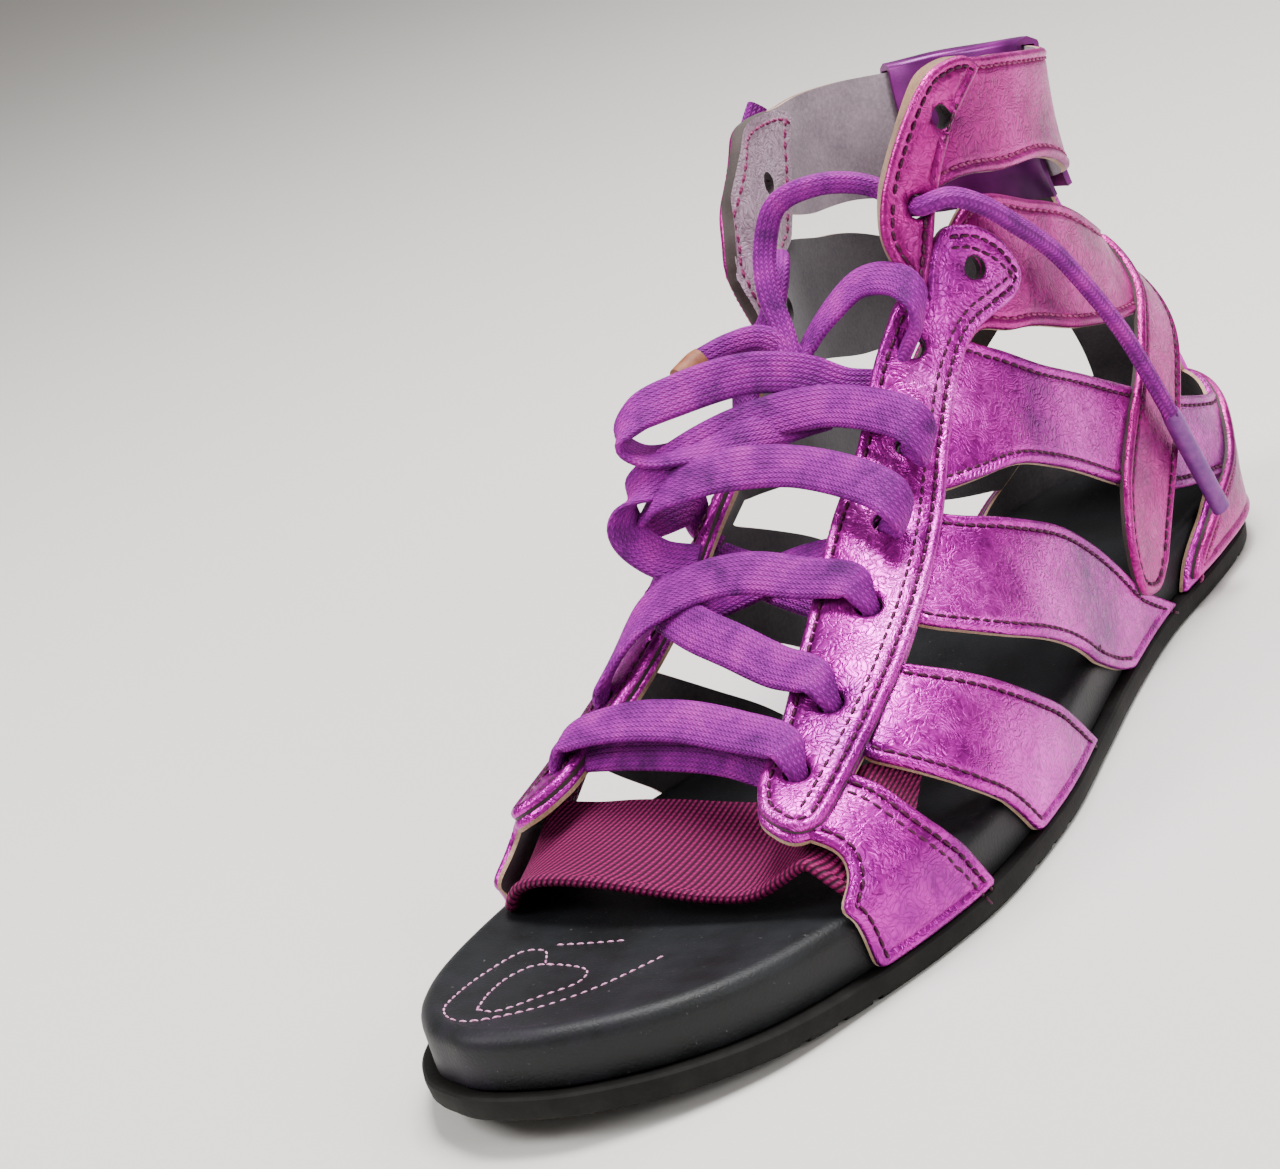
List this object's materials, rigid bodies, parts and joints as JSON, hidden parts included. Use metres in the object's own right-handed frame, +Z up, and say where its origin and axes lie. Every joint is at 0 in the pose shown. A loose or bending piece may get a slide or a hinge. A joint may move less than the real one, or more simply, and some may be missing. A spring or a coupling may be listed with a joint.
{
  "type": "lace-up gladiator sandal",
  "caption": "Flat lace-up gladiator sandal for the left foot, metallic purple straps, open toe, laced throat and ankle collar.",
  "frame": {"origin": "middle of the heel seat, on the surface the sandal stands on", "axes": "+Z up, -Y towards the toe, +X towards the outer side of the left foot"},
  "size_m": [0.0885, 0.2608, 0.1288],
  "materials": {
    "outsole": "matt black rubber",
    "footbed": "satin black moulded cover",
    "upper": "metallic orchid crackle leather",
    "eyestay": "metallic orchid crackle leather",
    "overlay": "metallic orchid crackle leather",
    "elastic": "ribbed elastic web",
    "satin": "satin",
    "lace": "flat woven lace",
    "lace_tip": "shrunk film"
  },
  "bodies": {
    "root": {"outsole": "outsole", "footbed": "footbed", "upper": "upper", "eyestay_lateral": "eyestay", "eyestay_medial": "eyestay", "side_strap_lateral": "overlay", "side_strap_medial": "overlay", "counter": "overlay", "toe_elastic": "elastic", "collar_loop": "satin", "lace_bar_toe": "lace", "lace_cross": "lace", "lace_bars_top": "lace", "lace_loop_front": "lace", "lace_loop_back": "lace", "lace_rise": "lace", "lace_end_lateral": "lace", "lace_end_medial": "lace", "lace_tip_lateral": "lace_tip", "lace_tip_medial": "lace_tip"}
  },
  "joints": []
}
